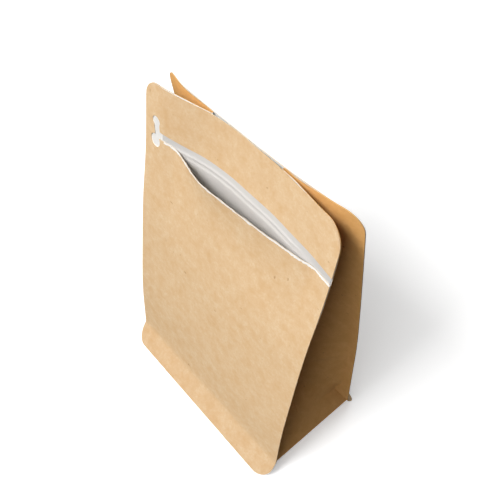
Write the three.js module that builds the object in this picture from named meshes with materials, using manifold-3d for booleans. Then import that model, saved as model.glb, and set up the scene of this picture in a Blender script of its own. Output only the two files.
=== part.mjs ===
// Kraft flat-bottom pouch with a torn-open pocket zipper, standing empty.
// Millimetres, +Z up, front towards -Y. Origin: centre of the footprint, on the surface it stands on.
//
// Every wall is a thin sheet cut flat and then formed. A sheet is a grid of columns and rows: a column
// keeps its distance from the side seal, a row keeps its height, and the rows bend round the rounded
// corners that are die-cut through all the layers at once.

import * as THREE from 'three';
import { mergeVertices } from 'three/addons/utils/BufferGeometryUtils.js';
import Module from 'manifold-3d';

// Panels
const WIDTH = 130;
const HEIGHT = 199;
const SHEET = 0.4;
const GAP = 0.33;
const SIDE_SEAL = 5;
const CORNER_RADIUS = 11;
const LEAN_X = -3.4;
const LEAN_Y = 3.2;

// Flared seal skirt round the base
const CREASE_HEIGHT = 10.5;
const CREASE_TILT = 0.03;
const SKIRT_DEPTH_FLARE = 9.6;
const SKIRT_WIDTH_FLARE = 0.8;
const SKIRT_CORNER_RISE = 8;
const CREASE_SOFTNESS = 1.25;

// Gussets: one leaf from the side seal to the inner fold, the fold's bend, and the flat foot
const LEAF = 37;
const FOLD_BEND = 0.45;
const FOLD_START = 9;
const FOLD_FULL = 34;
const FOOT_INSET = 12;
const FOOT_FLARE = 8;

// Panel shape: distance of the side seals from the middle plane, by height
const FRONT_PROFILE = [[10, 30.7], [46, 28.1], [84, 23], [121, 17.2], [158, 9.7], [199, 3.7]];
const BACK_PROFILE = [[10, 29.8], [46, 27.5], [84, 24.9], [121, 20.4], [158, 15.2], [199, 9.3]];

// Mouth: how far each panel is drawn in from its side seals at the top edge, by place across
const FRONT_MOUTH = [[-65, -0.8], [-53, -1.3], [-40, 1], [-24, 4.8], [-8, 6.3], [6, 6.2], [22, 5.6],
  [36, 4.5], [50, 3.2], [65, 0.8]];
const BACK_MOUTH = [[-65, 1.2], [-50, 5.1], [-34, 5.5], [-24, 5.3], [-10, 5.3], [8, 5.4], [22, 4.6], [38, 4],
  [52, 2.9], [65, -0.4]];
const MOUTH_START = 100;
const MOUTH_END = 180;

// Tear slit, and how far the torn lip below it stands in from the side seals (bowed forward: negative)
const SLIT_LOW = 169;
const SLIT_HIGH = 173;
const LIP = [[-65, -0.8], [-52, -1.2], [-42, 0.3], [-22, -4], [-14, -4.7], [0, -3.8], [24, -1.9], [46, 0.6],
  [54, 2.2], [60, 1.2], [65, -0.2]];
const LIP_REACH = 35;

// Two-lobed hole for the pull tab, at the left end of the slit
const HOLE_TOP = { x: -55.8, z: 177.9, radius: 2.9 };
const HOLE_NECK = { z: 172.4, left: -56.9, right: -51.9 };
const HOLE_BOTTOM = { x: -56.2, z: 166.3, radius: 3.7 };

// Zipper tape sealed under the header; its web hangs free in the middle, below the height it hangs from
const TAPE_LEFT = -51;
const TAPE_RIGHT = 64.6;
const TAPE_LOW = 150;
const TAPE_HANG = 165;
const TAPE_HIGH = 180;
const TAPE_FREE = 30;
const TAPE_HELD = 46;
const TRACK_HEIGHT = 168.6;
const TRACK_RISE = 0.8;
const TRACK_CREST = 0.5;
const TRACK_FOOT = 1.1;
const TRACK_HALF_WIDTH = 43;
const TRACK_FADE = 6;

// Base
const BASE_EDGE = 0.6;
const BASE_RISE = 8.3;
const BASE_FOLD_RISE = 1.6;
const BASE_STRIP_SPREAD = 1.4;
const RING_STOPS = [0, 0.04, 0.12, 0.3, 0.5, 0.7, 0.88, 0.96];
const PANEL_STOPS = [0.08, 0.4, 0.75];

const KRAFT = 0xd2a878;
const KRAFT_SIDE = 0xc89c6a;
const FILM = 0xe6e4e0;

const HALF = WIDTH / 2;
const { clamp, lerp, smoothstep } = THREE.MathUtils;

// A smooth curve through [position, value] knots, by cubic Hermite pieces.
function through(knots) {
  const last = knots.length - 1;
  const slope = knots.map((knot, i) => {
    const before = knots[Math.max(i - 1, 0)];
    const after = knots[Math.min(i + 1, last)];
    return (after[1] - before[1]) / (after[0] - before[0]);
  });
  return (position) => {
    const next = knots.findIndex((knot) => knot[0] >= position);
    const i = next < 0 ? last - 1 : Math.max(next - 1, 0);
    const [start, low] = knots[i];
    const [end, high] = knots[i + 1];
    const span = end - start;
    const t = clamp((position - start) / span, 0, 1);
    const ease = t * t * (3 - 2 * t);
    const leave = span * slope[i] * t * (1 - t) * (1 - t);
    const arrive = span * slope[i + 1] * t * t * (t - 1);
    return low + (high - low) * ease + leave + arrive;
  };
}

const frontProfile = through(FRONT_PROFILE);
const backProfile = through(BACK_PROFILE);
const frontMouth = through(FRONT_MOUTH);
const backMouth = through(BACK_MOUTH);
const lip = through(LIP);

// ---- Shape of the walls --------------------------------------------------------------------------

// How far the skirt stands out at the place (x, z), as a share of its full flare.
function flare(x, z) {
  return Math.pow(clamp(1 - z / (CREASE_HEIGHT + CREASE_TILT * x), 0, 1), CREASE_SOFTNESS);
}

// How far the mouth's shape has taken over from the body's at height z.
function mouthShare(z) {
  return smoothstep(z, MOUTH_START, MOUTH_END);
}

// Outer face of the front panel at the place (x, z) on it, with the slit shut.
function frontFace(x, z) {
  const depth = frontProfile(z) + SKIRT_DEPTH_FLARE * flare(x, z);
  return mouthShare(z) * frontMouth(x) - depth;
}

// Outer face of the back panel.
function backFace(x, z) {
  const depth = backProfile(z) + SKIRT_DEPTH_FLARE * flare(x, z);
  return depth - mouthShare(z) * backMouth(x);
}

// How far the torn lip is bowed forward of the shut face.
function lipBow(x, z) {
  if (z > (SLIT_LOW + SLIT_HIGH) / 2) {
    return 0;
  }
  const shut = mouthShare(z) * frontMouth(x);
  return Math.max(shut - lip(x), 0) * Math.exp((z - SLIT_LOW) / LIP_REACH);
}

// The whole pouch leans a little, more towards the top.
function leaned(x, y, z) {
  return [x + (LEAN_X * z) / HEIGHT, y + (LEAN_Y * z) / HEIGHT, z];
}

// How much the rounded corners take off a column that stands `inset` from the side edge, as a share.
function cornerCut(inset) {
  const out = clamp(1 - inset / CORNER_RADIUS, 0, 1);
  return 1 - Math.sqrt(1 - out * out);
}

// Height of a row in the column that stands `inset` from the side edge.
function rowHeight(row, inset) {
  const low = cornerCut(inset) * SKIRT_CORNER_RISE;
  const high = HEIGHT - cornerCut(inset) * CORNER_RADIUS;
  const reach = 2 * CORNER_RADIUS;
  const lifted = row + low * clamp(1 - row / reach, 0, 1);
  return lifted - (HEIGHT - high) * clamp(1 - (HEIGHT - row) / reach, 0, 1);
}

// ---- Closed solids from grids ----------------------------------------------------------------------

// A closed geometry from two matching grids of points, the sheet's two faces: columns of rows.
// The diagonals mirror about the middle column, so that sealed sheets have matching facets.
function sheetGeometry(faceA, faceB) {
  const columns = faceA.length;
  const rows = faceA[0].length;
  const points = [...faceA, ...faceB].flat(2);
  const at = (side, i, k) => (side * columns + i) * rows + k;
  const index = [];
  const quad = (a, b, c, d) => index.push(a, b, c, a, c, d);
  for (let i = 0; i < columns - 1; i += 1) {
    const mirrored = i >= (columns - 1) / 2;
    for (let k = 0; k < rows - 1; k += 1) {
      const near = [at(0, i, k), at(0, i + 1, k), at(0, i + 1, k + 1), at(0, i, k + 1)];
      const far = [at(1, i, k), at(1, i, k + 1), at(1, i + 1, k + 1), at(1, i + 1, k)];
      quad(...(mirrored ? [...near.slice(1), near[0]] : near));
      quad(...(mirrored ? [...far.slice(1), far[0]] : far));
    }
    quad(at(0, i + 1, 0), at(0, i, 0), at(1, i, 0), at(1, i + 1, 0));
    quad(at(0, i, rows - 1), at(0, i + 1, rows - 1), at(1, i + 1, rows - 1), at(1, i, rows - 1));
  }
  for (let k = 0; k < rows - 1; k += 1) {
    const far = columns - 1;
    quad(at(0, 0, k), at(0, 0, k + 1), at(1, 0, k + 1), at(1, 0, k));
    quad(at(0, far, k + 1), at(0, far, k), at(1, far, k), at(1, far, k + 1));
  }
  return outward(points, index);
}

// Volume inside a closed set of triangles; negative where they face inwards.
function signedVolume(points, index) {
  const corner = (n) => new THREE.Vector3().fromArray(points, 3 * index[n]);
  let sum = 0;
  for (let n = 0; n < index.length; n += 3) {
    sum += corner(n).dot(corner(n + 1).cross(corner(n + 2))) / 6;
  }
  return sum;
}

function outward(points, index) {
  const faces = signedVolume(points, index) < 0 ? index.slice().reverse() : index;
  const geometry = new THREE.BufferGeometry();
  geometry.setAttribute('position', new THREE.Float32BufferAttribute(points, 3));
  geometry.setIndex(faces);
  return geometry;
}

// Distances from the side edge of the columns that the rounded corners bend.
const SEAL_STOPS = [0, 1.2, 3, SIDE_SEAL];
const EDGE_STOPS = [...SEAL_STOPS, 8];

// Places across a panel from edge to edge: close together in the rounded corners, even between them.
function placesAcross(middleSteps) {
  const inner = HALF - CORNER_RADIUS;
  const edge = EDGE_STOPS.map((stop) => HALF - stop);
  const middle = Array.from({ length: middleSteps + 1 }, (_, n) => lerp(-inner, inner, n / middleSteps));
  return [...edge.map((x) => -x), ...middle, ...edge.slice().reverse()];
}

// Rows of a wall, shared so that sealed sheets bend at the same heights.
const FOOT_ROWS = [0, 3, 6, 8.3];
const BODY_ROWS = [...FOOT_ROWS, 9.8, 11.5, 14.5, 19, 26, 34, 50, 70, 90, 110, 128, 142, 152, 160];
const SLIT_ROWS = [165, 169.5, 172.5, 176.5];
const TOP_ROWS = [181, 186, 190.5, 195, HEIGHT];
const WALL_ROWS = [...BODY_ROWS, 170, ...TOP_ROWS];

// ---- Panels ------------------------------------------------------------------------------------------

// A panel's grid. face(x, z) is its outer face; inward is the way to the inside along Y.
function panelGeometry(places, rows, face, inward) {
  const layer = (depth) => places.map((place) => rows.map((row) => {
    const z = rowHeight(row, HALF - Math.abs(place));
    const x = place * (1 + (SKIRT_WIDTH_FLARE / HALF) * flare(place, z));
    return leaned(x, face(place, z) + inward * depth, z);
  }));
  return sheetGeometry(layer(0), layer(SHEET));
}

function backPanel() {
  return panelGeometry(placesAcross(12), WALL_ROWS, backFace, -1);
}

function frontSheet() {
  const rows = [...BODY_ROWS, ...SLIT_ROWS, ...TOP_ROWS];
  const face = (x, z) => frontFace(x, z) - lipBow(x, z);
  return panelGeometry(placesAcross(16), rows, face, 1);
}

// Outline of the two-lobed pull-tab hole with the tear strip that leads from it past the right edge.
function tearOutline() {
  const { x: topX, z: topZ, radius: topR } = HOLE_TOP;
  const { x: lowX, z: lowZ, radius: lowR } = HOLE_BOTTOM;
  const open = Math.asin((SLIT_LOW - lowZ) / lowR);
  const shape = new THREE.Shape();
  shape.moveTo(HOLE_NECK.left, HOLE_NECK.z);
  shape.quadraticCurveTo(topX - topR, topZ - topR, topX - topR, topZ);
  shape.absarc(topX, topZ, topR, Math.PI, 0, true);
  shape.quadraticCurveTo(topX + topR, SLIT_HIGH + 1, HOLE_NECK.right, SLIT_HIGH);
  shape.lineTo(HALF + CORNER_RADIUS, SLIT_HIGH);
  shape.lineTo(HALF + CORNER_RADIUS, SLIT_LOW);
  shape.absarc(lowX, lowZ, lowR, open, Math.PI - open, true);
  shape.quadraticCurveTo(HOLE_NECK.left, SLIT_LOW + 1, HOLE_NECK.left, HOLE_NECK.z);
  return shape;
}

function solidOf(wasm, geometry) {
  const bare = geometry.clone();
  bare.deleteAttribute('normal');
  bare.deleteAttribute('uv');
  const merged = mergeVertices(bare, 1e-5);
  const mesh = new wasm.Mesh({
    numProp: 3,
    vertProperties: merged.attributes.position.array,
    triVerts: new Uint32Array(merged.index.array),
  });
  return new wasm.Manifold(mesh);
}

function geometryOf(solid) {
  const { vertProperties, triVerts } = solid.getMesh();
  const geometry = new THREE.BufferGeometry();
  geometry.setAttribute('position', new THREE.BufferAttribute(vertProperties, 3));
  geometry.setIndex(new THREE.BufferAttribute(triVerts, 1));
  return geometry;
}

// The front panel stays joined to its header only by the narrow strip left of the pull-tab hole.
function frontPanel(wasm) {
  const cutter = new THREE.ExtrudeGeometry(tearOutline(), {
    depth: 2 * HALF,
    bevelEnabled: false,
    curveSegments: 6,
  });
  cutter.rotateX(Math.PI / 2);
  cutter.translate(...leaned(0, HALF, SLIT_LOW).slice(0, 2), 0);
  return geometryOf(solidOf(wasm, frontSheet()).subtract(solidOf(wasm, cutter)));
}

// ---- Gussets -----------------------------------------------------------------------------------------

// Extra room behind the front panel where the zipper tape lies between it and the gusset.
function tapeRoom(z) {
  const parting = smoothstep(z, TAPE_LOW - 12, TAPE_LOW - 1);
  const closing = smoothstep(z, TAPE_HIGH, TAPE_HIGH + 9);
  return (SHEET + GAP) * (parting - closing);
}

// Distance from the middle of the pouch to the line where the gusset leaves the side seal.
function footLine(side, z) {
  const upright = smoothstep(z, FOLD_START, FOLD_FULL);
  const foot = HALF - FOOT_INSET + FOOT_FLARE * flare(side * HALF, z);
  return lerp(foot, HALF - SIDE_SEAL, upright);
}

// Depth of the inward fold: the leaf is the long side of a right triangle over half the pouch's depth.
function foldDepth(z) {
  const halfDepth = (frontProfile(z) + backProfile(z)) / 2;
  return Math.sqrt(LEAF ** 2 - halfDepth ** 2) * smoothstep(z, FOLD_START, FOLD_FULL);
}

const LEAF_STOPS = [0.08, 0.2, 0.45, 0.75, 1];

// Middle line of a gusset in plan at height z, from the front seal round the fold to the back seal.
function gussetLine(side, z) {
  const foot = footLine(side, z);
  const depth = foldDepth(z);
  const offset = SHEET + GAP + SHEET / 2;
  const seal = (x, back) => (back
    ? [x, backFace(x, z) - offset]
    : [x, frontFace(x, z) + offset + tapeRoom(z)]);
  const edge = HALF + SKIRT_WIDTH_FLARE * flare(side * HALF, z);
  const foldX = side * (foot - depth);
  const middle = (seal(foldX, false)[1] + seal(foldX, true)[1]) / 2;
  const half = (back) => {
    const turn = back ? FOLD_BEND : -FOLD_BEND;
    const flange = SEAL_STOPS.map((stop) => seal(side * lerp(edge, foot, stop / SIDE_SEAL), back));
    const close = middle + turn - seal(foldX, back)[1];
    const leaf = LEAF_STOPS.map((share) => {
      const [x, y] = seal(side * (foot - depth * share), back);
      return [x, y + close * share];
    });
    return [...flange, ...leaf];
  };
  const bend = FOLD_BEND * clamp(depth / SIDE_SEAL, 0, 1);
  return [...half(false), [foldX - side * bend, middle], ...half(true).reverse()];
}

// Distance of each gusset column from its side edge, measured along the sheet.
function gussetInsets() {
  const half = [...SEAL_STOPS, ...LEAF_STOPS.map((share) => SIDE_SEAL + LEAF * share)];
  return [...half, SIDE_SEAL + LEAF, ...half.slice().reverse()];
}

// A point of the line moved sideways by `shift`, mitred between its two segments.
function shifted(line, i, shift) {
  const point = new THREE.Vector2().fromArray(line[i]);
  const before = new THREE.Vector2().fromArray(line[Math.max(i - 1, 0)]);
  const after = new THREE.Vector2().fromArray(line[Math.min(i + 1, line.length - 1)]);
  const arriving = (i > 0 ? point.clone().sub(before) : after.clone().sub(point)).normalize();
  const leaving = (i < line.length - 1 ? after.clone().sub(point) : point.clone().sub(before)).normalize();
  const along = arriving.clone().add(leaving).normalize();
  const mitre = shift / Math.max(along.dot(arriving), 0.6);
  return [point.x - along.y * mitre, point.y + along.x * mitre];
}

function gusset(side) {
  const insets = gussetInsets();
  const layer = (shift) => insets.map((inset, i) => WALL_ROWS.map((row) => {
    const z = rowHeight(row, inset);
    const [x, y] = shifted(gussetLine(side, z), i, shift);
    return leaned(x, y, z);
  }));
  return sheetGeometry(layer(-SHEET / 2), layer(SHEET / 2));
}

// ---- Base --------------------------------------------------------------------------------------------

// Points round a four-cornered outline in plan, each with its distance from the nearest corner.
function outlineRing(corners) {
  return corners.flatMap(([x, y], side) => {
    const [nextX, nextY] = corners[(side + 1) % 4];
    const length = Math.hypot(nextX - x, nextY - y);
    return RING_STOPS.map((share) => ({
      x: lerp(x, nextX, share),
      y: lerp(y, nextY, share),
      fromCorner: length * Math.min(share, 1 - share),
    }));
  });
}

// A closed geometry lofted through rings of equal count, closed by a fan at each end.
function ringLoft(rings) {
  const count = rings[0].length;
  const points = rings.flat(2);
  const index = [];
  for (let r = 0; r < rings.length - 1; r += 1) {
    for (let n = 0; n < count; n += 1) {
      const a = r * count + n;
      const b = r * count + ((n + 1) % count);
      index.push(a, b, b + count, a, b + count, a + count);
    }
  }
  [0, rings.length - 1].forEach((r, end) => {
    const centre = points.length / 3;
    const sum = rings[r].reduce((total, p) => total.add(new THREE.Vector3(...p)), new THREE.Vector3());
    points.push(...sum.divideScalar(count).toArray());
    for (let n = 0; n < count; n += 1) {
      const a = r * count + n;
      const b = r * count + ((n + 1) % count);
      index.push(...(end ? [a, b, centre] : [b, a, centre]));
    }
  });
  return outward(points, index);
}

// The base is a shallow tray turned over: sloping strips sealed inside the skirt, and a floor panel
// at crease height with a raised fold line along its middle.
function basePanel() {
  const clear = SHEET + 2 * GAP + SHEET / 2;
  const outline = (z, inset) => {
    const corner = (side, back) => {
      const x = side * (footLine(side, Math.min(z, FOLD_START)) - BASE_EDGE - inset);
      return [x, back ? backFace(x, z) - clear - inset : frontFace(x, z) + clear + inset];
    };
    return outlineRing([corner(1, false), corner(1, true), corner(-1, true), corner(-1, false)]);
  };
  const strip = (row, inset, drop) => outline(row, inset).map(({ fromCorner }, n) => {
    const z = rowHeight(row, SIDE_SEAL + fromCorner);
    const { x, y } = outline(z, inset)[n];
    return [x, y, z - drop];
  });
  const [low, high] = [frontFace(0, BASE_RISE), backFace(0, BASE_RISE)];
  const middle = (low + high) / 2;
  const panel = (share, drop) => outline(BASE_RISE, drop).map(({ x, y }) => {
    const fromMiddle = (Math.abs(y - middle) * share) / (high - middle);
    const rise = BASE_FOLD_RISE * (1 - fromMiddle) * (1 - share);
    return [x * share, middle + (y - middle) * share, BASE_RISE + rise - drop];
  });
  const slope = BASE_STRIP_SPREAD * SHEET;
  const rings = [
    ...PANEL_STOPS.map((share) => panel(share, 0)),
    ...FOOT_ROWS.slice().reverse().map((row) => strip(row, 0, 0)),
    ...FOOT_ROWS.slice(0, -1).map((row) => strip(row, slope, 0)),
    strip(BASE_RISE, SHEET, SHEET),
    ...PANEL_STOPS.slice().reverse().map((share) => panel(share, SHEET)),
  ];
  return ringLoft(rings.map((ring) => ring.map((point) => leaned(...point))));
}

// ---- Zipper tape -------------------------------------------------------------------------------------

// How far the tape's web stands back from the front panel where it hangs straight down.
function tapeSlack(x, z) {
  const free = 1 - smoothstep(Math.abs(x), TAPE_FREE, TAPE_HELD);
  return z < TAPE_HANG ? free * (frontFace(x, TAPE_HANG) - frontFace(x, z)) : 0;
}

// The tape is sealed behind the header, with a moulded track along it that is pressed flat near the seals.
function zipperTape() {
  const across = [-TRACK_FOOT, -TRACK_CREST, TRACK_CREST, TRACK_FOOT].map((rise) => TRACK_HEIGHT + rise);
  const rows = [TAPE_LOW, (TAPE_LOW + TAPE_HANG) / 2, TAPE_HANG, ...across, SLIT_HIGH, TAPE_HIGH];
  const steps = 20;
  const places = Array.from({ length: steps + 1 }, (_, n) => lerp(TAPE_LEFT, TAPE_RIGHT, n / steps));
  const track = (x, z) => {
    const along = smoothstep(TRACK_HALF_WIDTH - Math.abs(x), 0, TRACK_FADE);
    const side = (TRACK_CREST + TRACK_FOOT) / 2;
    return Math.abs(z - TRACK_HEIGHT) < side ? TRACK_RISE * along : 0;
  };
  const layer = (depth) => places.map((x) => rows.map((z) => {
    const y = frontFace(x, z) + SHEET + GAP + tapeSlack(x, z) + depth;
    return leaned(x, depth ? y : y - track(x, z), z);
  }));
  return sheetGeometry(layer(0), layer(SHEET));
}

// ---- Assembly ----------------------------------------------------------------------------------------

function piece(name, geometry, color, roughness) {
  const material = new THREE.MeshStandardMaterial({ color, roughness, metalness: 0 });
  const mesh = new THREE.Mesh(geometry, material);
  mesh.name = name;
  return mesh;
}

const wasm = await Module();
wasm.setup();

const pouch = new THREE.Group();
pouch.add(piece('front_panel', frontPanel(wasm), KRAFT, 0.85));
pouch.add(piece('back_panel', backPanel(), KRAFT, 0.85));
pouch.add(piece('left_gusset', gusset(-1), KRAFT_SIDE, 0.85));
pouch.add(piece('right_gusset', gusset(1), KRAFT_SIDE, 0.85));
pouch.add(piece('base_panel', basePanel(), KRAFT_SIDE, 0.85));
pouch.add(piece('zipper_tape', zipperTape(), FILM, 0.4));

// The origin goes to the centre of the box, at floor level.
const box = new THREE.Box3().setFromObject(pouch);
const centre = box.getCenter(new THREE.Vector3());
pouch.position.set(-centre.x, -centre.y, -box.min.z);

export default pouch;
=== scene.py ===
"""Flat-bottom kraft paper pouch, torn open and standing empty: the visual model.

Every wall is a thin laminate of kraft paper and white film. It is worked out in millimetres as a surface
of two parameters, the place across the flat sheet and the height along it, and then placed in the frame
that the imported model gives. The front of the pouch faces -Y and its height is along +Z.
"""

import logging
import math
from dataclasses import dataclass, field
from enum import Enum

import bpy
import numpy as np
from mathutils import Matrix, Vector


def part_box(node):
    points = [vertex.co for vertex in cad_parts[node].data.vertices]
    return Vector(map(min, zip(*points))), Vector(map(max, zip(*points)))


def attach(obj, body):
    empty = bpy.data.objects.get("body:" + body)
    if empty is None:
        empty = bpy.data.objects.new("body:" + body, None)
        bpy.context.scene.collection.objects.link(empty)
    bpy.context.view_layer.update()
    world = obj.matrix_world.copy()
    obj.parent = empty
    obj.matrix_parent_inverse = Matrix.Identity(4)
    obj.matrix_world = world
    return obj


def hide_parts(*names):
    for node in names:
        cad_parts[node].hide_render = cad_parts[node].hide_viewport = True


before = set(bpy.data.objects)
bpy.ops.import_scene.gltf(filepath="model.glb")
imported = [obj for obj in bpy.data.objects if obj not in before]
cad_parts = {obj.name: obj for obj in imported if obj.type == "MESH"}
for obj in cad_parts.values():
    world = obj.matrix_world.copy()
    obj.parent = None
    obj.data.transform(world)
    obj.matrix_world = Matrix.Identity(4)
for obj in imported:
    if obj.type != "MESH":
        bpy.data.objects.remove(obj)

log = logging.getLogger("pouch")

MM = 0.001
BODY = "root"
SHARP_DEGREES = 42
TINY = 1e-12
MIX_FIRST, MIX_SECOND, MIX_RESULT = 6, 7, 2

Array = np.ndarray
Socket = bpy.types.NodeSocket
Pair = tuple[float, float]
Triple = tuple[float, float, float]
Runs = tuple[Triple, ...]

FRONT, BACK = (0, -1, 0), (0, 1, 0)


# ---- Curves ------------------------------------------------------------------------------------------


def smoothstep(value: Array, start: float, end: float) -> Array:
    """Rises from 0 at start to 1 at end, level at both."""
    share = np.clip((value - start) / (end - start), 0, 1)
    return share * share * (3 - 2 * share)


def bump(value: Array, centre: float, width: float) -> Array:
    """A bell of height 1 at centre that has fallen to about a third at `width` from it."""
    return np.exp(-(((value - centre) / width) ** 2))


@dataclass(frozen=True)
class Curve:
    """A smooth curve through (place, value) knots, in cubic Hermite pieces.

    The slope at a knot is that of the line between its two neighbours, and past the ends it stays level.
    """

    knots: tuple[Pair, ...]

    def at(self, place: Array) -> Array:
        """The curve's value at each place.

        Args:
            place: places between or past the knots.

        Returns:
            The values, in the same shape.
        """
        x, y = np.array(self.knots).T
        before = np.r_[0, np.arange(len(x) - 1)]
        after = np.r_[np.arange(1, len(x)), len(x) - 1]
        slope = (y[after] - y[before]) / (x[after] - x[before])
        i = np.clip(np.searchsorted(x, place) - 1, 0, len(x) - 2)
        span = x[i + 1] - x[i]
        t = np.clip((place - x[i]) / span, 0, 1)
        ease = t * t * (3 - 2 * t)
        leave = span * slope[i] * t * (1 - t) ** 2
        arrive = span * slope[i + 1] * t * t * (t - 1)
        return y[i] + (y[i + 1] - y[i]) * ease + leave + arrive


@dataclass(frozen=True)
class Ripple:
    """Shallow waves that limp paper keeps: a sum of sines with seeded directions and phases.

    Each wave's length is `length` times a number drawn from `spread`, and a `slant` under 1 draws the waves
    out across the sheet.
    """

    seed: int
    length: float
    height: float
    slant: float = 0.7
    waves: int = 6
    spread: Pair = (0.6, 1.7)

    def at(self, x: Array, z: Array) -> Array:
        """The waves' height at each place.

        Args:
            x: places across the sheet.
            z: heights along it.

        Returns:
            How far the waves stand up there, in millimetres.
        """
        draw = np.random.default_rng(self.seed)
        total = np.zeros(np.broadcast(x, z).shape)
        for _ in range(self.waves):
            turn = draw.uniform(0, math.tau)
            number = math.tau / (self.length * draw.uniform(*self.spread))
            along = x * math.cos(turn) * self.slant + z * math.sin(turn)
            total += np.sin(along * number + draw.uniform(0, math.tau))
        return total * self.height / math.sqrt(self.waves)


def ladder(*runs: Triple) -> Array:
    """Places in joined runs of (start, end, step), each evened out to end on its end."""
    parts = [np.linspace(a, b, max(1, round(abs(b - a) / step)), endpoint=False) for a, b, step in runs]
    return np.concatenate([*parts, [runs[-1][1]]])


# ---- The pouch's form --------------------------------------------------------------------------------


@dataclass(frozen=True)
class PouchForm:
    """Driving sizes of the pouch in millimetres, and the faces that follow from them.

    A place across a panel is its distance from the middle in the flat sheet. The front's outer face is
    minus its profile by height, less the skirt's flare, plus what the mouth draws in.
    """

    # The sheet: its outline, its thickness, its seals, and how far the pouch leans at its top.
    width: float = 130
    height: float = 199
    skin: float = 0.32
    seal_gap: float = 0.03
    side_seal: float = 5
    corner: float = 11
    lean_x: float = -3.4
    lean_y: float = 3.2

    # The skirt under the foot: its crease, how far it flares and its rounded corners.
    crease: float = 10.5
    crease_tilt: float = 0.03
    crease_softness: float = 1.25
    crease_bend: float = 0.14
    flare_depth: float = 9.6
    flare_width: float = 0.8
    skirt_corner: float = 8

    # How far each panel stands from the middle by height, and what the mouth draws in by place across.
    front_profile: Curve = Curve(((10, 30.7), (46, 28.1), (84, 23), (121, 17.2), (158, 9.7), (199, 3.7)))
    back_profile: Curve = Curve(((10, 29.8), (46, 27.5), (84, 24.9), (121, 20.4), (158, 15.2), (199, 9.3)))
    front_mouth: Curve = Curve(
        ((-65, -0.8), (-53, -1.3), (-40, 1), (-24, 4.8), (-8, 6.5),
         (6, 6.4), (22, 6), (36, 4.6), (50, 3.2), (65, 0.8))
    )
    back_mouth: Curve = Curve(
        ((-65, 1.2), (-50, 5.1), (-34, 5.5), (-24, 5.6), (-10, 5.6),
         (8, 5.6), (22, 5.2), (38, 4.3), (52, 2.9), (65, -0.4))
    )
    mouth_start: float = 100
    mouth_end: float = 180
    bare_end: float = 10

    # What limp paper keeps: where it is free to wave, the creases across its foot, and the waves.
    wave_edge: Pair = (3, 16)
    wave_foot: Pair = (12, 30)
    wave_top: Pair = (150, 165)
    wave_top_loss: float = 0.6
    foot_crease_pitch: float = 9
    foot_crease_height: float = 0.09
    foot_crease_tilt: float = 0.03
    foot_crease_end: Pair = (24, 60)
    front_waves: Ripple = Ripple(seed=3, length=26, height=0.15, slant=0.3)
    back_waves: Ripple = Ripple(seed=11, length=34, height=0.18, slant=0.5)

    @property
    def half(self) -> float:
        """Half the panels' width."""
        return self.width / 2

    def flare(self, x: Array, z: Array) -> Array:
        """How far the skirt stands out, as a share: a ramp below the tilted crease, bent in softly."""
        below = 1 - z / (self.crease + self.crease_tilt * x)
        soft = (below + np.sqrt(below**2 + self.crease_bend**2)) / 2
        return np.minimum(soft, 1) ** self.crease_softness

    def mouth_share(self, z: Array) -> Array:
        """How far the mouth's shape has taken over from the body's."""
        return smoothstep(z, self.mouth_start, self.mouth_end)

    def free(self, x: Array, z: Array) -> Array:
        """How free the sheet is to wave: 0 at the seals and the skirt, less at the mouth, 1 in the open."""
        top = 1 - self.wave_top_loss * smoothstep(z, *self.wave_top)
        return self.from_edge(x) * smoothstep(z, *self.wave_foot) * top

    def from_edge(self, x: Array) -> Array:
        """The share that grows from 0 near the side edges to 1 in the open."""
        return smoothstep(self.half - np.abs(x), *self.wave_edge)

    def foot_creases(self, x: Array, z: Array) -> Array:
        """Faint creases across the foot of the front, level with the base and dying away upwards."""
        level = np.sin(math.tau * (z + self.foot_crease_tilt * x) / self.foot_crease_pitch)
        fade = smoothstep(z, self.crease, 2 * self.crease) * (1 - smoothstep(z, *self.foot_crease_end))
        return self.foot_crease_height * level * fade * self.from_edge(x)

    def front(self, x: Array, z: Array) -> Array:
        """Y of the front panel's outer face with the slit shut."""
        depth = self.front_profile.at(z) + self.flare_depth * self.flare(x, z)
        waves = self.front_waves.at(x, z) * self.free(x, z) + self.foot_creases(x, z)
        return self.mouth_share(z) * self.front_mouth.at(x) + waves - depth

    def back(self, x: Array, z: Array) -> Array:
        """Y of the back panel's outer face."""
        depth = self.back_profile.at(z) + self.flare_depth * self.flare(x, z)
        waves = self.back_waves.at(x, z) * self.free(x, z)
        return depth + waves - self.mouth_share(z) * self.back_mouth.at(x)

    def corner_cut(self, inset: Array) -> Array:
        """What the quarter-round corners take off a column at `inset` from the side edge, as a share."""
        out = np.clip(1 - inset / self.corner, 0, 1)
        return 1 - np.sqrt(1 - out * out)

    def row_height(self, row: Array, inset: Array) -> Array:
        """Height of a row in the column at `inset`: rows near the ends bend round the corners."""
        cut = self.corner_cut(inset)
        reach = 2 * self.corner
        lift = cut * self.skirt_corner * np.clip(1 - row / reach, 0, 1)
        drop = cut * self.corner * np.clip(1 - (self.height - row) / reach, 0, 1)
        return row + lift - drop

    def widened(self, x: Array, z: Array) -> Array:
        """Places across with what the flare adds to the skirt's width."""
        return x * (1 + self.flare_width / self.half * self.flare(x, z))

    def leaned(self, x: Array, y: Array, z: Array) -> Array:
        """Points with the whole pouch's slight lean, in the pouch's own millimetres."""
        share = z / self.height
        return np.stack([x + self.lean_x * share, y + self.lean_y * share, z], axis=-1)

    def mouth_edge(self, x: Array, z: Array) -> Array:
        """Where the film shows in the cut edge, as a mask: along the left and middle of the mouth."""
        return (z > self.height - self.corner) & (x > self.side_seal / 2 - self.half) & (x < self.bare_end)

    def above_floor(self, points: Array) -> Array:
        """Points with what an offset put below the floor lifted back on to it."""
        return np.concatenate([points[..., :2], np.maximum(points[..., 2:], 0)], axis=-1)

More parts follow.
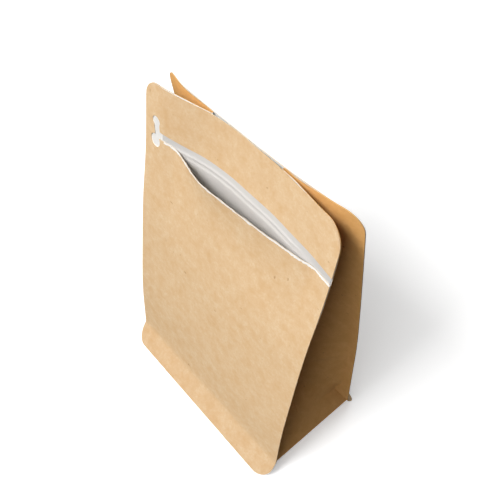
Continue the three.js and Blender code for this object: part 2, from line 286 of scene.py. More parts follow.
    def home(self) -> Array:
        """The shift that puts the form where the frame has it, by the low corner of the front panel's box."""
        low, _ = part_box("front_panel")
        top_corner = self.height - self.corner
        x = -self.half + self.lean_x * top_corner / self.height
        y = -self.front_profile.knots[0][1] - self.flare_depth
        return np.array([low.x / MM - x, low.y / MM - y, 0])


FORM = PouchForm()


# ---- Closed skins ------------------------------------------------------------------------------------


class Side(Enum):
    """Which way a piece lies from the middle of the pouch."""

    LEFT = -1
    RIGHT = 1


class Layer(Enum):
    """A wall's material slots."""

    OUTSIDE = 0
    INSIDE = 1
    EDGE = 2
    TORN = 3


def normals(grid: Array, way: Triple) -> Array:
    """Unit normals of a grid surface.

    Args:
        grid: points in (columns, rows).
        way: a direction on the side that the normals should point to.

    Returns:
        A normal for each point.
    """
    cross = np.cross(np.gradient(grid, axis=0), np.gradient(grid, axis=1))
    unit = cross / np.maximum(np.linalg.norm(cross, axis=-1, keepdims=True), TINY)
    return unit * math.copysign(1, (unit @ np.array(way)).mean())


def grid_triangles(columns: int, rows: int, crossed: Array | None = None) -> Array:
    """Two triangles for each cell of a grid, where `crossed` cells have the other diagonal.

    Args:
        columns: points along the first parameter.
        rows: points along the second parameter.
        crossed: a mask of cells, (columns - 1, rows - 1).

    Returns:
        Triangles as rows of three point numbers, turned the same way round.
    """
    number = np.arange(columns * rows).reshape(columns, rows)
    a, b = number[:-1, :-1].ravel(), number[1:, :-1].ravel()
    c, d = number[1:, 1:].ravel(), number[:-1, 1:].ravel()
    other = np.zeros(a.shape, bool) if crossed is None else crossed.ravel()
    first = np.where(other[:, None], np.stack([a, b, d], 1), np.stack([a, b, c], 1))
    second = np.where(other[:, None], np.stack([b, c, d], 1), np.stack([a, c, d], 1))
    return np.concatenate([first, second])


def rim_triangles(triangles: Array, offset: int) -> Array:
    """Triangles that join each open edge of a sheet to the same edge of its other face.

    Args:
        triangles: the sheet's one face.
        offset: what is added to a point's number to get its partner on the other face.

    Returns:
        Two triangles for each open edge, facing away from the sheet.
    """
    edges = np.concatenate([triangles[:, [0, 1]], triangles[:, [1, 2]], triangles[:, [2, 0]]])
    count = triangles.max() + 1
    code, back = edges[:, 0] * count + edges[:, 1], edges[:, 1] * count + edges[:, 0]
    a, b = edges[~np.isin(code, back)].T
    return np.concatenate([np.stack([b, a, a + offset], 1), np.stack([b, a + offset, b + offset], 1)])


def skin(
    outer: Array, inner: Array, triangles: Array, torn: Array | None = None, bare: Array | None = None
) -> tuple[Array, Array, Array]:
    """A closed wall between two matching faces, with a material slot for each triangle.

    Args:
        outer: points of the outer face, in grid order.
        inner: the matching points of the inner face.
        triangles: the outer face's triangles, turned either way.
        torn: a mask of the outer face's points where the paper is torn off the film; by default none.
        bare: a mask of the outer face's points where the film shows in the cut edge; by default none.

    Returns:
        Points, triangles facing outwards, and the slot of each triangle.
    """
    outer, inner = outer.reshape(-1, 3), inner.reshape(-1, 3)
    corner = outer[triangles]
    facing = np.cross(corner[:, 1] - corner[:, 0], corner[:, 2] - corner[:, 0])
    away = (outer - inner)[triangles].mean(axis=1)
    if (facing * away).sum() < 0:
        triangles = triangles[:, ::-1]
    count = len(outer)
    rim = rim_triangles(triangles, count)
    slot = np.full(len(triangles), Layer.OUTSIDE.value)
    if torn is not None:
        slot[torn.ravel()[triangles].all(axis=1)] = Layer.TORN.value
    rim_slot = np.full(len(rim), Layer.OUTSIDE.value)
    if bare is not None:
        rim_slot[bare.ravel()[rim % count].all(axis=1)] = Layer.EDGE.value
    slots = np.concatenate([slot, np.full(len(triangles), Layer.INSIDE.value), rim_slot])
    faces = np.concatenate([triangles, triangles[:, ::-1] + count, rim])
    used, faces = np.unique(faces, return_inverse=True)
    return np.concatenate([outer, inner])[used], faces.reshape(-1, 3), slots


def add_object(name: str, data: bpy.types.ID) -> bpy.types.Object:
    """A new object with the given mesh, lamp or camera, put in the scene."""
    added = bpy.data.objects.new(name, data)
    bpy.context.scene.collection.objects.link(added)
    return added


def make_piece(
    name: str, points: Array, triangles: Array, slots: Array, materials: list[bpy.types.Material]
) -> bpy.types.Object:
    """Puts points in millimetres and triangles into a new mesh object at the origin.

    Args:
        name: the piece's name.
        points: its points, in the pouch's own millimetres.
        triangles: rows of three point numbers.
        slots: the material slot of each triangle.
        materials: the materials, in the order of the slots.

    Returns:
        The new object, smooth apart from its sharp edges.
    """
    mesh = bpy.data.meshes.new(name)
    mesh.from_pydata(((points + FORM.home()) * MM).tolist(), [], triangles.tolist())
    for material in materials:
        mesh.materials.append(material)
    mesh.polygons.foreach_set("material_index", slots.astype(np.int32))
    mesh.polygons.foreach_set("use_smooth", np.ones(len(triangles), bool))
    mesh.set_sharp_from_angle(angle=math.radians(SHARP_DEGREES))
    mesh.update()
    return add_object(name, mesh)


def carry(piece: bpy.types.Object, node: str) -> None:
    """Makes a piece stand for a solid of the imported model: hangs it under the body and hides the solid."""
    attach(piece, BODY)
    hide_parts(node)
    log.info("%s: %d triangles in place of %s", piece.name, len(piece.data.polygons), node)


# ---- Finishes ----------------------------------------------------------------------------------------


def linear(colour: int) -> tuple[float, float, float, float]:
    """An sRGB hex colour as linear red, green and blue, with full alpha."""
    parts = [((colour >> shift) & 255) / 255 for shift in (16, 8, 0)]
    return (*[p / 12.92 if p <= 0.04045 else ((p + 0.055) / 1.055) ** 2.4 for p in parts], 1)


def per_metre(size_mm: float) -> float:
    """The scale of a pattern whose features are that many millimetres across."""
    return 1 / (size_mm * MM)


def add_node(
    tree: bpy.types.NodeTree,
    kind: str,
    settings: dict[str, object] | None = None,
    inputs: dict[str | int, object] | None = None,
) -> bpy.types.Node:
    """Adds a node with its settings and links.

    Args:
        tree: the material's nodes.
        kind: the node's type.
        settings: its attributes by name.
        inputs: by socket name or number, a value to set or another node's output to link.

    Returns:
        The new node.
    """
    node = tree.nodes.new(kind)
    for key, value in (settings or {}).items():
        setattr(node, key, value)
    for key, value in (inputs or {}).items():
        if isinstance(value, Socket):
            tree.links.new(value, node.inputs[key])
        else:
            node.inputs[key].default_value = value
    return node


def new_material(name: str) -> tuple[bpy.types.Material, bpy.types.NodeTree, bpy.types.Node]:
    """A new material, its nodes and its Principled shader."""
    material = bpy.data.materials.new(name)
    material.use_nodes = True
    tree = material.node_tree
    return material, tree, tree.nodes["Principled BSDF"]


def object_place(tree: bpy.types.NodeTree) -> Socket:
    """Object coordinates, in metres."""
    return add_node(tree, "ShaderNodeTexCoord").outputs["Object"]


def share_of(tree: bpy.types.NodeTree, value: Socket, limits: Pair, top: float = 1) -> Socket:
    """How far a value has come from one limit to the other.

    Args:
        tree: the material's nodes.
        value: another node's output.
        limits: where the share starts to grow, and where it is full.
        top: the full share.

    Returns:
        The share, from 0 to `top`.
    """
    low, high = limits
    share = add_node(tree, "ShaderNodeMapRange", inputs={
        "Value": value, "From Min": low, "From Max": high, "To Max": top})
    return share.outputs["Result"]


def mixed(tree: bpy.types.NodeTree, share: Socket, first: object, second: object) -> Socket:
    """Mixes two colours, each given as a colour or as another node's output.

    Args:
        tree: the material's nodes.
        share: how much of the second colour is in the mix.
        first: the colour at share 0.
        second: the colour at share 1.

    Returns:
        The mixed colour.
    """
    mix = add_node(tree, "ShaderNodeMix", {"data_type": "RGBA"}, {
        "Factor": share, MIX_FIRST: first, MIX_SECOND: second})
    return mix.outputs[MIX_RESULT]


@dataclass(frozen=True)
class Grain:
    """A cloudy pattern whose features have a real size in millimetres."""

    size_mm: float
    detail: float
    roughness: float = 0.5
    distortion: float = 0

    def add(self, tree: bpy.types.NodeTree, place: Socket) -> Socket:
        """Adds the pattern at the given coordinates and returns its value."""
        pattern = add_node(tree, "ShaderNodeTexNoise", inputs={
            "Vector": place, "Scale": per_metre(self.size_mm), "Detail": self.detail,
            "Roughness": self.roughness, "Distortion": self.distortion})
        return pattern.outputs["Fac"]


@dataclass(frozen=True)
class Relief:
    """How far a pattern stands up from a surface."""

    strength: float
    depth_mm: float

    def add(self, tree: bpy.types.NodeTree, height: Socket, shader: bpy.types.Node) -> None:
        """Gives the shader the pattern's relief."""
        relief = add_node(tree, "ShaderNodeBump", inputs={
            "Height": height, "Strength": self.strength, "Distance": self.depth_mm * MM})
        tree.links.new(relief.outputs["Normal"], shader.inputs["Normal"])


@dataclass(frozen=True)
class Kraft:
    """Unbleached machine-glazed kraft paper, uncoated.

    It gives the eye a matt warm tan with soft clouds where the pulp lay thicker, a fine felt of fibres and
    a few darker bark specks. Its fuzz evens out the light on it. Torn off its film, it leaves a pale ragged
    band along the tear: `tear` is that line's height and how softly it ends, in millimetres.
    """

    name: str = "unbleached_kraft_paper"
    light: int = 0xE0C8A5
    dark: int = 0xD3AF82
    speck: int = 0xA8794A
    film: int = 0xEFEDEA
    cloud: Grain = Grain(6, detail=6, roughness=0.66)
    cloud_span: Pair = (0.3, 0.72)
    fibre: Grain = Grain(1.3, detail=3, roughness=0.7, distortion=0.6)
    fibre_span: Pair = (0.35, 0.7)
    fibre_top: float = 0.6
    bark: Grain = Grain(5.5, detail=2, roughness=0.75)
    bark_span: Pair = (0.71, 0.76)
    bark_top: float = 0.6
    ragged: Grain = Grain(3.2, detail=4, roughness=0.7)
    ragged_mm: float = 3.2
    relief: Relief = Relief(0.35, depth_mm=0.12)
    roughness: float = 0.82
    fuzz: float = 0.42
    shine: float = 0.25
    tear: Pair | None = None

    def make(self) -> bpy.types.Material:
        """Builds the material: clouds, then fibres, then specks, and the torn band if there is one.

        Returns:
            The material, on Object coordinates.
        """
        material, tree, shader = new_material(self.name)
        shader.inputs["Roughness"].default_value = self.roughness
        shader.inputs["Diffuse Roughness"].default_value = self.fuzz
        shader.inputs["Specular IOR Level"].default_value = self.shine
        place = object_place(tree)
        fibre = self.fibre.add(tree, place)
        clouds = share_of(tree, self.cloud.add(tree, place), self.cloud_span)
        colour = mixed(tree, clouds, linear(self.light), linear(self.dark))
        fibres = share_of(tree, fibre, self.fibre_span, self.fibre_top)
        colour = mixed(tree, fibres, colour, linear(self.dark))
        specks = share_of(tree, self.bark.add(tree, place), self.bark_span, self.bark_top)
        colour = mixed(tree, specks, colour, linear(self.speck))
        if self.tear:
            colour = mixed(tree, self.torn(tree, place, self.tear), colour, linear(self.film))
        tree.links.new(colour, shader.inputs["Base Color"])
        self.relief.add(tree, fibre, shader)
        return material

    def torn(self, tree: bpy.types.NodeTree, place: Socket, tear: Pair) -> Socket:
        """How far the paper is gone at each place.

        Args:
            tree: the material's nodes.
            place: Object coordinates.
            tear: height of the torn line and how softly it ends, in millimetres.

        Returns:
            A share that goes from 0 below the ragged line to 1 above it.
        """
        low, blur = tear
        height = add_node(tree, "ShaderNodeSeparateXYZ", inputs={0: place}).outputs["Z"]
        wander = add_node(tree, "ShaderNodeMath", {"operation": "MULTIPLY_ADD"}, {
            0: self.ragged.add(tree, place), 1: self.ragged_mm * MM, 2: height})
        return share_of(tree, wander.outputs[0], (low * MM, (low + blur) * MM))


@dataclass(frozen=True)
class Film:
    """White pigmented polyethylene, extruded and laminated to the paper.

    It gives the eye a clean satin white with a broad soft gloss and a faint haze of handling creases.
    """

    name: str = "white_polyethylene_film"
    colour: int = 0xF2F0EC
    roughness: float = 0.42
    crease: Grain = Grain(9, detail=3)
    relief: Relief = Relief(0.3, depth_mm=0.4)

    def make(self) -> bpy.types.Material:
        """Builds the material: plain white with shallow soft creases."""
        material, tree, shader = new_material(self.name)
        shader.inputs["Base Color"].default_value = linear(self.colour)
        shader.inputs["Roughness"].default_value = self.roughness
        self.relief.add(tree, self.crease.add(tree, object_place(tree)), shader)
        return material


@dataclass(frozen=True)
class CutEdge:
    """The die-cut edge of the laminate, which gives the eye a pale line of paper and film seen end on."""

    name: str = "cut_laminate_edge"
    light: int = 0xF0E6D8
    dark: int = 0xDCC5A2
    roughness: float = 0.8
    fibre: Grain = Grain(1.2, detail=2)

    def make(self) -> bpy.types.Material:
        """Builds the material: pale, broken up by fibres about a millimetre apart."""
        material, tree, shader = new_material(self.name)
        shader.inputs["Roughness"].default_value = self.roughness
        fibre = self.fibre.add(tree, object_place(tree))
        colour = mixed(tree, fibre, linear(self.light), linear(self.dark))
        tree.links.new(colour, shader.inputs["Base Color"])
        return material


@dataclass
class Finishes:
    """The pouch's materials, each built once."""

    # The panels and the base: a pale matt tan.
    kraft: bpy.types.Material = field(default_factory=lambda: Kraft().make())

    # The gussets: the same paper in a warmer and deeper tan, which is painted shade: it stands in for the
    # orange light that passes through the kraft and bounces inside the folds.
    side: bpy.types.Material = field(
        default_factory=lambda: Kraft("gusset_kraft_painted_warm_shade", light=0xE5B475, dark=0xD3A05E).make()
    )

    # The lip under the slit: paper that ends raggedly, with the white film standing above it.
    torn: bpy.types.Material = field(
        default_factory=lambda: Kraft("kraft_paper_torn_off_its_film", tear=(169.35, 0.25)).make()
    )

    # The lining and the cut edges: satin white, and a pale line.
    film: bpy.types.Material = field(default_factory=lambda: Film().make())
    edge: bpy.types.Material = field(default_factory=lambda: CutEdge().make())

    # The zipper tape: a greyer white than the lining, and less glossy. The grey is partly the tape's own
    # milky tone and partly painted shade, for the web that hangs in shadow behind the header and the lip.
    tape: bpy.types.Material = field(
        default_factory=lambda: Film(
            "white_zipper_tape", colour=0xD0CDCA, roughness=0.55, crease=Grain(14, detail=3)
        ).make()
    )

    def wall(self, side: bool = False) -> list[bpy.types.Material]:
        """A wall's materials in the order of its layers."""
        return [self.side if side else self.kraft, self.film, self.edge, self.torn]


# ---- Panels ------------------------------------------------------------------------------------------


@dataclass
class Opening:
    """The pull-tab hole of two lobes, and the slit left by the tear strip that ran from it.

    A lobe is its centre's place across, its centre's height and its radius.
    """

    low: float = 169
    high: float = 173
    top_lobe: Triple = (-55.8, 177.9, 2.9)
    low_lobe: Triple = (-56.2, 166.3, 3.7)
    neck_foot: Pair = (-54.5, 170.5)
    neck_head: Pair = (-55.3, 176)
    neck_radius: float = 2.1
    blend: float = 0.5
    slit_start: float = -54
    rag: Ripple = Ripple(seed=5, length=3.4, height=0.16)
    snap_reach: float = 0.19
    snap_rounds: int = 3
    snap_step: float = 0.01
    least_slope: float = 0.25

    def split(self) -> float:
        """Height of the slit's middle."""
        return (self.low + self.high) / 2

    def distance(self, x: Array, z: Array) -> Array:
        """Distance from the opening's outline, negative inside it.

        Each lobe is a circle, the neck is a line with round ends between them, and the three are blended
        where they meet. The slit is a strip whose lower edge wanders as torn film does.

        Args:
            x: places across the panel.
            z: heights.

        Returns:
            The distances, in millimetres.
        """
        lobes = [np.hypot(x - cx, z - cz) - r for cx, cz, r in (self.top_lobe, self.low_lobe)]
        foot, head = np.array(self.neck_foot), np.array(self.neck_head)
        span = head - foot
        share = np.clip(((x - foot[0]) * span[0] + (z - foot[1]) * span[1]) / (span @ span), 0, 1)
        neck = np.hypot(x - foot[0] - share * span[0], z - foot[1] - share * span[1]) - self.neck_radius
        hole = lobes[0]
        for other in (neck, lobes[1]):
            near = np.clip(0.5 + 0.5 * (other - hole) / self.blend, 0, 1)
            hole = other + (hole - other) * near - self.blend * near * (1 - near)
        torn = self.low + self.rag.at(x, 0 * z)
        slit = np.maximum(np.maximum(torn - z, z - self.high), self.slit_start - x)
        return np.minimum(hole, slit)

    def snapped(self, x: Array, z: Array) -> tuple[Array, Array, Array]:
        """Moves the points within `snap_reach` of the outline on to it, along the distance's slope.

        Args:
            x: places across the panel.
            z: heights.

        Returns:
            The moved x and z, and each point's state: -1 inside, 0 on the outline, 1 outside.
        """
        near = np.abs(self.distance(x, z)) < self.snap_reach
        step = self.snap_step
        for _ in range(self.snap_rounds):
            d = self.distance(x, z)
            gx = (self.distance(x + step, z) - self.distance(x - step, z)) / (2 * step)
            gz = (self.distance(x, z + step) - self.distance(x, z - step)) / (2 * step)
            pull = np.where(near, d / np.maximum(gx * gx + gz * gz, self.least_slope), 0)
            x, z = x - pull * gx, z - pull * gz
        return x, z, np.where(near, 0, np.sign(self.distance(x, z)).astype(int))


@dataclass
class FrontPanel:
    """Front wall: rounded corners, flared foot, pull-tab hole, torn slit and the lip bowed forward.

    `film_band` is the height above which and the place right of which the torn film shows on the lip.
    """

    opening: Opening = field(default_factory=Opening)
    lip: Curve = Curve(
        ((-65, -0.8), (-52, -1.2), (-42, 0.3), (-22, -4), (-14, -4.7), (0, -3.8), (24, -1.9), (46, 0.6),
         (54, 2.2), (60, 1.2), (65, -0.2))
    )
    lip_reach: float = 35
    lip_start: Pair = (-56, -44)
    lip_end: Pair = (56, 64)
    lip_blend: float = 0.3
    film_band: Pair = (164.5, -50)
    across: Runs = (
        (-65, -63.5, 0.3), (-63.5, -61, 0.6), (-61, -49, 0.35), (-49, 54, 1.15),
        (54, 63.5, 0.7), (63.5, 65, 0.3),
    )
    up: Runs = ((0, 14, 0.5), (14, 150, 1.9), (150, 161, 1), (161, 182.5, 0.35), (182.5, 199, 1))

    def bow(self, x: Array, z: Array) -> Array:
        """How far the torn lip stands forward of the shut face: most at the slit, dying away below it."""
        shut = FORM.mouth_share(z) * FORM.front_mouth.at(x)
        forward = shut - self.lip.at(x)
        smooth = 0.5 * (forward + np.sqrt(forward**2 + self.lip_blend**2))
        loose = smoothstep(x, *self.lip_start) * (1 - smoothstep(x, *self.lip_end))
        below = np.minimum(z, self.opening.low) - self.opening.low
        return smooth * loose * np.exp(below / self.lip_reach)

    def face(self, x: Array, z: Array, bowed: bool) -> Array:
        """The outer face as points: the shut face, less the bow where the lip is."""
        y = FORM.front(x, z) - (self.bow(x, z) if bowed else 0)
        return FORM.leaned(FORM.widened(x, z), y, z)

    def build(self, finishes: Finishes) -> bpy.types.Object:
        """Builds the panel's mesh, fine round the hole and the slit, and drops what lies in the opening.

        Args:
            finishes: the pouch's materials.

        Returns:
            The front wall.
        """
        place, row = np.meshgrid(ladder(*self.across), ladder(*self.up), indexing="ij")
        z = FORM.row_height(row, FORM.half - np.abs(place))
        x, z, state = self.opening.snapped(place, z)
        lip, header = self.face(x, z, True), self.face(x, z, False)
        below = (z < self.opening.split())[..., None]
        outer = np.where(below, lip, header)
        normal = np.where(below, normals(lip, FRONT), normals(header, FRONT))
        inner = FORM.above_floor(outer - normal * FORM.skin)
        on = state == 0
        crossed = on[1:, :-1] & on[:-1, 1:]
        triangles = grid_triangles(*place.shape, crossed)
        flat_x, flat_z = x.ravel()[triangles].mean(axis=1), z.ravel()[triangles].mean(axis=1)
        kept = (state.ravel()[triangles].min(axis=1) >= 0) & (self.opening.distance(flat_x, flat_z) > 0)
        low, left = self.film_band
        torn = (z > low) & (z < self.opening.split()) & (x > left)
        bare = FORM.mouth_edge(x, z) | on
        return make_piece("front_wall", *skin(outer, inner, triangles[kept], torn, bare), finishes.wall())


@dataclass
class BackPanel:
    """Back wall: the same outline as the front, uncut."""

    across: Runs = ((-65, -63.5, 0.3), (-63.5, -54, 0.7), (-54, 54, 1.5), (54, 63.5, 0.7), (63.5, 65, 0.3))
    up: Runs = ((0, 14, 0.5), (14, 176, 2), (176, 199, 1))

    def build(self, finishes: Finishes) -> bpy.types.Object:
        """Builds the panel's mesh on a grid that is finer in the corners and at the crease.

        Args:
            finishes: the pouch's materials.

        Returns:
            The back wall.
        """
        place, row = np.meshgrid(ladder(*self.across), ladder(*self.up), indexing="ij")
        z = FORM.row_height(row, FORM.half - np.abs(place))
        outer = FORM.leaned(FORM.widened(place, z), FORM.back(place, z), z)
        inner = FORM.above_floor(outer - normals(outer, BACK) * FORM.skin)
        triangles = grid_triangles(*place.shape)
        bare = FORM.mouth_edge(place, z)
        return make_piece("back_wall", *skin(outer, inner, triangles, bare=bare), finishes.wall())


# ---- Gussets -----------------------------------------------------------------------------------------


@dataclass
class Gusset:
    """A side wall folded inwards along its middle, sealed to both panels and spread flat at the foot.

    The leaf is the sheet from a seal to the fold, and the bend is the fold's radius. Beside the zipper the
    front leaf is pressed to the panel, and leaves room there for the tape. A buckle is a ridge across the
    leaf, with its place across and up, and its length, width and height.
    """

    side: Side
    leaf: float = 37
    bend: float = 0.45
    fold_start: float = 9
    fold_full: float = 34
    foot_inset: float = 12
    foot_flare: float = 8
    knee: float = 0.1
    pressed_share: float = 0.2
    pressed_span: Pair = (150, 162)
    tape_room: float = 0.42
    tape_foot: Pair = (138, 149)
    tape_head: Pair = (180, 189)
    tape_end: Pair = (-54, -51)
    ripple: Ripple = Ripple(seed=21, length=30, height=0.35)
    back_shift: float = 90
    wave_seal: Pair = (0.02, 0.3)
    wave_fold: Pair = (0.8, 1)
    wave_foot: Pair = (10, 40)
    buckle_place: Pair = (50, 60)
    buckle_size: Triple = (9, 2.6, 0.8)
    buckle_slant: float = 0.5
    across_seal: Runs = ((0, 0.3, 0.06), (0.3, 0.98, 0.14))
    across_leaf: Runs = ((0.015, 0.2, 0.03), (0.2, 0.97, 0.05), (0.97, 1, 0.01))
    up: Runs = ((0, 14, 0.5), (14, 40, 1.2), (40, 176, 2.4), (176, 199, 1))

    def foot_line(self, z: Array) -> Array:
        """Distance from the middle to the line where the gusset leaves the side seal."""
        upright = smoothstep(z, self.fold_start, self.fold_full)
        foot = FORM.half - self.foot_inset + self.foot_flare * FORM.flare(self.side.value * FORM.half, z)
        return foot + (FORM.half - FORM.side_seal - foot) * upright

    def fold_depth(self, z: Array) -> Array:
        """Depth of the fold: the leaf is the long side of a right triangle over half the pouch's depth."""
        half_depth = (FORM.front_profile.at(z) + FORM.back_profile.at(z)) / 2
        return np.sqrt(self.leaf**2 - half_depth**2) * smoothstep(z, self.fold_start, self.fold_full)

    def seal(self, x: Array, z: Array, back: bool) -> Array:
        """Y of the gusset's middle surface where it lies against the front or the back wall.

        It lies under that wall's own skin, the gap and half the gusset's skin.
        """
        offset = FORM.skin * 1.5 + FORM.seal_gap
        if back:
            return FORM.back(x, z) - offset
        beside = smoothstep(z, *self.tape_foot) - smoothstep(z, *self.tape_head)
        room = self.tape_room * beside * smoothstep(x, *self.tape_end)
        return FORM.front(x, z) + offset + room

    def buckle(self, x: Array, z: Array) -> Array:
        """A shallow slanting buckle in the right gusset's back leaf: a ridge with a hollow under it."""
        along, up = self.buckle_place
        length, width, height = self.buckle_size
        slant = z - (x - along) * self.buckle_slant
        pair = bump(slant, up, width) - bump(slant, up - 2 * width, width)
        return height * pair * bump(x, along, length)

    def half_sheet(self, flange: Array, leaf: Array, row: Array, back: bool) -> Array:
        """The middle surface from one side seal to the fold.

        Args:
            flange: shares across the seal, from the outer edge to the line where it ends.
            leaf: shares across the leaf, from that line to the fold.
            row: heights in the flat sheet.
            back: whether it is the half at the back wall.

        Returns:
            Points in a grid of (flange and leaf, row). Across the flange a point follows the wall, and
            across the leaf it leaves the wall, softly at first and then in proportion, to meet the middle.
            Beside the zipper the front leaf is pressed flat to the wall for its first share.
        """
        inset = np.concatenate([flange * FORM.side_seal, FORM.side_seal + leaf * self.leaf])
        z = FORM.row_height(row[None, :], inset[:, None])
        sign = self.side.value
        foot, depth = self.foot_line(z), self.fold_depth(z)
        edge = FORM.half + FORM.flare_width * FORM.flare(sign * FORM.half, z)
        split = len(flange)
        x = np.empty_like(z)
        x[:split] = edge[:split] + (foot[:split] - edge[:split]) * flange[:, None]
        x[split:] = foot[split:] - depth[split:] * leaf[:, None]
        x *= sign
        y = self.seal(x, z, back)
        fold_x = sign * (foot - depth)
        middle = (self.seal(fold_x, z, False) + self.seal(fold_x, z, True)) / 2
        close = middle + (self.bend if back else -self.bend) - self.seal(fold_x, z, back)
        share = np.concatenate([np.zeros(split), leaf])[:, None]
        pressed = np.zeros_like(z) if back else self.pressed_share * smoothstep(z, *self.pressed_span)
        past = np.maximum(share - pressed, 0) / (1 - pressed)
        leave = (1 + self.knee) * past**2 / (past + self.knee)
        free = smoothstep(share, *self.wave_seal) * (1 - smoothstep(share, *self.wave_fold))
        free = free * smoothstep(z, *self.wave_foot)
        y += close * leave + self.ripple.at(x + (self.back_shift if back else 0), z) * free
        if back and self.side is Side.RIGHT:
            y -= self.buckle(x, z) * free
        return FORM.leaned(x, y, z)

    def build(self, finishes: Finishes) -> bpy.types.Object:
        """Builds the gusset: the front half, the rounded fold and the back half, offset to both faces.

        Args:
            finishes: the pouch's materials.

        Returns:
            The side wall.
        """
        flange, leaf, rows = ladder(*self.across_seal), ladder(*self.across_leaf), ladder(*self.up)
        front = self.half_sheet(flange, leaf, rows, False)
        back = self.half_sheet(flange, leaf, rows, True)[::-1]
        nose = (front[-1] + back[0]) / 2
        depth = self.fold_depth(nose[:, 2])
        nose[:, 0] -= self.side.value * self.bend * np.clip(depth / FORM.side_seal, 0, 1)
        middle = np.concatenate([front, nose[None], back])
        shift = normals(middle, (self.side.value, 0, 0)) * FORM.skin / 2
        outer, inner = FORM.above_floor(middle + shift), FORM.above_floor(middle - shift)
        triangles = grid_triangles(*middle.shape[:2])
        name = f"{self.side.name.lower()}_gusset_wall"
        # The gussets take the kraft with the painted warm shade.
        return make_piece(name, *skin(outer, inner, triangles), finishes.wall(side=True))


# ---- Zipper tape -------------------------------------------------------------------------------------


@dataclass
class ZipperTape:
    """White tape sealed behind the header, with a moulded track and a finer guide rib below it.

    Above `hang` it is sealed to the header. Below, its web hangs straight down out to `loose` from the
    middle, and from `held` outwards the side seals keep it against the front wall.
    """

    left: float = -51
    right: float = 64.6
    step: float = 0.9
    up: Runs = ((150, 164, 0.8), (164, 173, 0.14), (173, 180, 1))
    hang: float = 165
    held: float = 46
    loose: float = 30
    thick: float = 0.36
    track: float = 168.6
    track_rise: float = 0.28
    track_width: float = 0.85
    rib: float = 165.9
    rib_rise: float = 0.09
    track_end: float = 46
    track_fade: float = 8
    end_inset: float = 3
    inset_reach: float = 20
    inset_span: Pair = (160, 167)

    def build(self, finishes: Finishes) -> bpy.types.Object:
        """Builds the tape: a strip that follows the header's inside, plus bells for track and rib.

        Args:
            finishes: the pouch's materials.

        Returns:
            The tape.
        """
        across = ladder((self.left, self.right, self.step))
        x, z = np.meshgrid(across, ladder(*self.up), indexing="ij")
        near_end = smoothstep(x, self.right - self.inset_reach, self.right)
        x = x - self.end_inset * near_end * (1 - smoothstep(z, *self.inset_span))
        drop = FORM.front(x, np.maximum(z, self.hang)) - FORM.front(x, z)
        slack = drop * (1 - smoothstep(np.abs(x), self.loose, self.held))
        y = FORM.front(x, z) + FORM.skin + FORM.seal_gap + slack
        clear = smoothstep(self.track_end - np.abs(x), 0, self.track_fade)
        rise = self.track_rise * bump(z, self.track, self.track_width)
        rise += self.rib_rise * bump(z, self.rib, self.track_width / 2)
        outer = FORM.leaned(x, y - rise * clear, z)
        inner = FORM.leaned(x, y + self.thick, z)
        triangles = grid_triangles(*x.shape)
        materials = [finishes.tape] * len(Layer)
        return make_piece("zipper_strip", *skin(outer, inner, triangles), materials)


# ---- Studio ------------------------------------------------------------------------------------------


def direction(azimuth: float, elevation: float) -> Vector:
    """The way out from the pouch, in degrees from the front towards the right and up from the floor."""
    turn, tilt = math.radians(azimuth), math.radians(elevation)
    return Vector((math.sin(turn) * math.cos(tilt), -math.cos(turn) * math.cos(tilt), math.sin(tilt)))


@dataclass(frozen=True)
class SoftBox:
    """A square lamp that faces the pouch, with its distance and side in metres."""

    name: str
    azimuth: float
    elevation: float
    distance: float
    side: float
    watts: float
    aim: Triple = (0, 0, 0.1)

    def hang(self) -> None:
        """Hangs the lamp at its distance from the aim, turned towards it."""
        data = bpy.data.lights.new(self.name, "AREA")
        data.size = self.side
        data.energy = self.watts
        way = direction(self.azimuth, self.elevation)
        lamp = add_object(self.name, data)
        lamp.location = Vector(self.aim) + way * self.distance
        lamp.rotation_euler = way.to_track_quat("Z", "Y").to_euler()


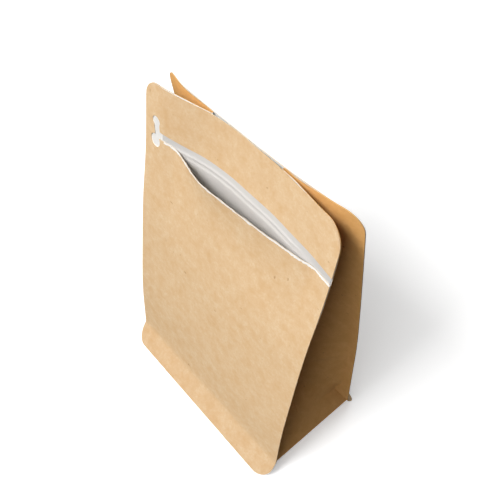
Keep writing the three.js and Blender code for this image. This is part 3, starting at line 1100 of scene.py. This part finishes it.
@dataclass
class Studio:
    """Pale floor, soft boxes round the pouch, and the camera at the photograph's angle.

    The camera's focal length and picture centre are in pixels of a picture `image_px` wide, and its angles
    are in degrees.
    """

    image_px: float = 500
    focal_px: float = 682.3
    centre_px: Pair = (250.7, 236.7)
    sensor_mm: float = 36
    eye_mm: Triple = (160.9, -135.2, 406.8)
    azimuth: float = 48.80
    elevation: float = 51.92
    roll: float = 0.41
    floor_reach: float = 4
    floor_colour: int = 0xFFFFFF
    floor_bounce: int = 0x3E3B38
    floor_glow: float = 0.3
    surround_strength: float = 0.11
    backdrop: float = 0.62
    lamps: tuple[SoftBox, ...] = (
        SoftBox("key", azimuth=-8, elevation=56, distance=1.3, side=0.35, watts=11.2),
        SoftBox("left", azimuth=-42, elevation=48, distance=1.4, side=0.8, watts=4.8),
        SoftBox("right", azimuth=18, elevation=42, distance=1.35, side=0.7, watts=6.8),
        SoftBox("back", azimuth=192, elevation=40, distance=1.4, side=1.0, watts=4.5),
    )

    def camera(self) -> None:
        """Places the camera by its solved position, angles and focal length."""
        data = bpy.data.cameras.new("camera")
        data.sensor_width = self.sensor_mm
        data.lens = self.focal_px / self.image_px * self.sensor_mm
        data.shift_x = -(self.centre_px[0] / self.image_px - 0.5)
        data.shift_y = self.centre_px[1] / self.image_px - 0.5
        turn, roll = math.radians(self.azimuth), math.radians(self.roll)
        back = direction(self.azimuth, self.elevation)
        level = Vector((math.cos(turn), math.sin(turn), 0))
        rise = back.cross(level)
        right = level * math.cos(roll) + rise * math.sin(roll)
        up = rise * math.cos(roll) - level * math.sin(roll)
        placed = Matrix((right, up, back)).transposed().to_4x4()
        placed.translation = Vector((np.array(self.eye_mm) + FORM.home()) * MM)
        camera = add_object("camera", data)
        camera.matrix_world = placed
        bpy.context.scene.camera = camera

    def floor(self) -> None:
        """A wide pale floor under the pouch."""
        mesh = bpy.data.meshes.new("floor")
        reach = self.floor_reach
        corners = [(-reach, -reach, 0), (reach, -reach, 0), (reach, reach, 0), (-reach, reach, 0)]
        mesh.from_pydata(corners, [], [(0, 1, 2, 3)])
        mesh.materials.append(self.sweep())
        floor = add_object("floor", mesh)

    def sweep(self) -> bpy.types.Material:
        """Matt white acrylic lit from below, which gives the eye an even white with a pale soft shadow.

        It throws less light back on the pouch than the camera sees in it.
        """
        material, tree, shader = new_material("matt_white_acrylic_table")
        shader.inputs["Roughness"].default_value = 1.0
        shader.inputs["Specular IOR Level"].default_value = 0.0
        shader.inputs["Emission Color"].default_value = linear(self.floor_colour)
        seen = add_node(tree, "ShaderNodeLightPath").outputs["Is Camera Ray"]
        glow = add_node(tree, "ShaderNodeMath", {"operation": "MULTIPLY"}, {0: seen, 1: self.floor_glow})
        colour = mixed(tree, seen, linear(self.floor_bounce), linear(self.floor_colour))
        tree.links.new(glow.outputs[0], shader.inputs["Emission Strength"])
        tree.links.new(colour, shader.inputs["Base Color"])
        return material

    def surround(self) -> None:
        """A dim white studio round the lamps, which the camera sees as a pale backdrop."""
        world = bpy.data.worlds.new("surround")
        world.use_nodes = True
        tree = world.node_tree
        background = tree.nodes["Background"]
        background.inputs["Color"].default_value = (1, 1, 1, 1)
        seen = add_node(tree, "ShaderNodeLightPath").outputs["Is Camera Ray"]
        strength = add_node(tree, "ShaderNodeMapRange", inputs={
            "Value": seen, "To Min": self.surround_strength, "To Max": self.backdrop})
        tree.links.new(strength.outputs["Result"], background.inputs["Strength"])
        bpy.context.scene.world = world
        bpy.context.scene.view_settings.view_transform = "Standard"

    def build(self) -> None:
        """Sets up camera, floor, lamps and surround."""
        self.camera()
        self.floor()
        for lamp in self.lamps:
            lamp.hang()
        self.surround()
        log.info("studio ready")


def main() -> None:
    """Builds the pouch wall by wall, then the studio."""
    logging.basicConfig(level=logging.INFO, format="%(name)s: %(message)s")
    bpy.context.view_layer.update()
    finishes = Finishes()
    carry(FrontPanel().build(finishes), "front_panel")
    carry(BackPanel().build(finishes), "back_panel")
    for side in Side:
        carry(Gusset(side).build(finishes), f"{side.name.lower()}_gusset")
    carry(ZipperTape().build(finishes), "zipper_tape")

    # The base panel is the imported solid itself, in the walls' kraft: a plain matt tan underneath.
    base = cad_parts["base_panel"]
    base.data.materials.clear()
    base.data.materials.append(finishes.kraft)

    Studio().build()


if __name__ == "__main__":
    main()
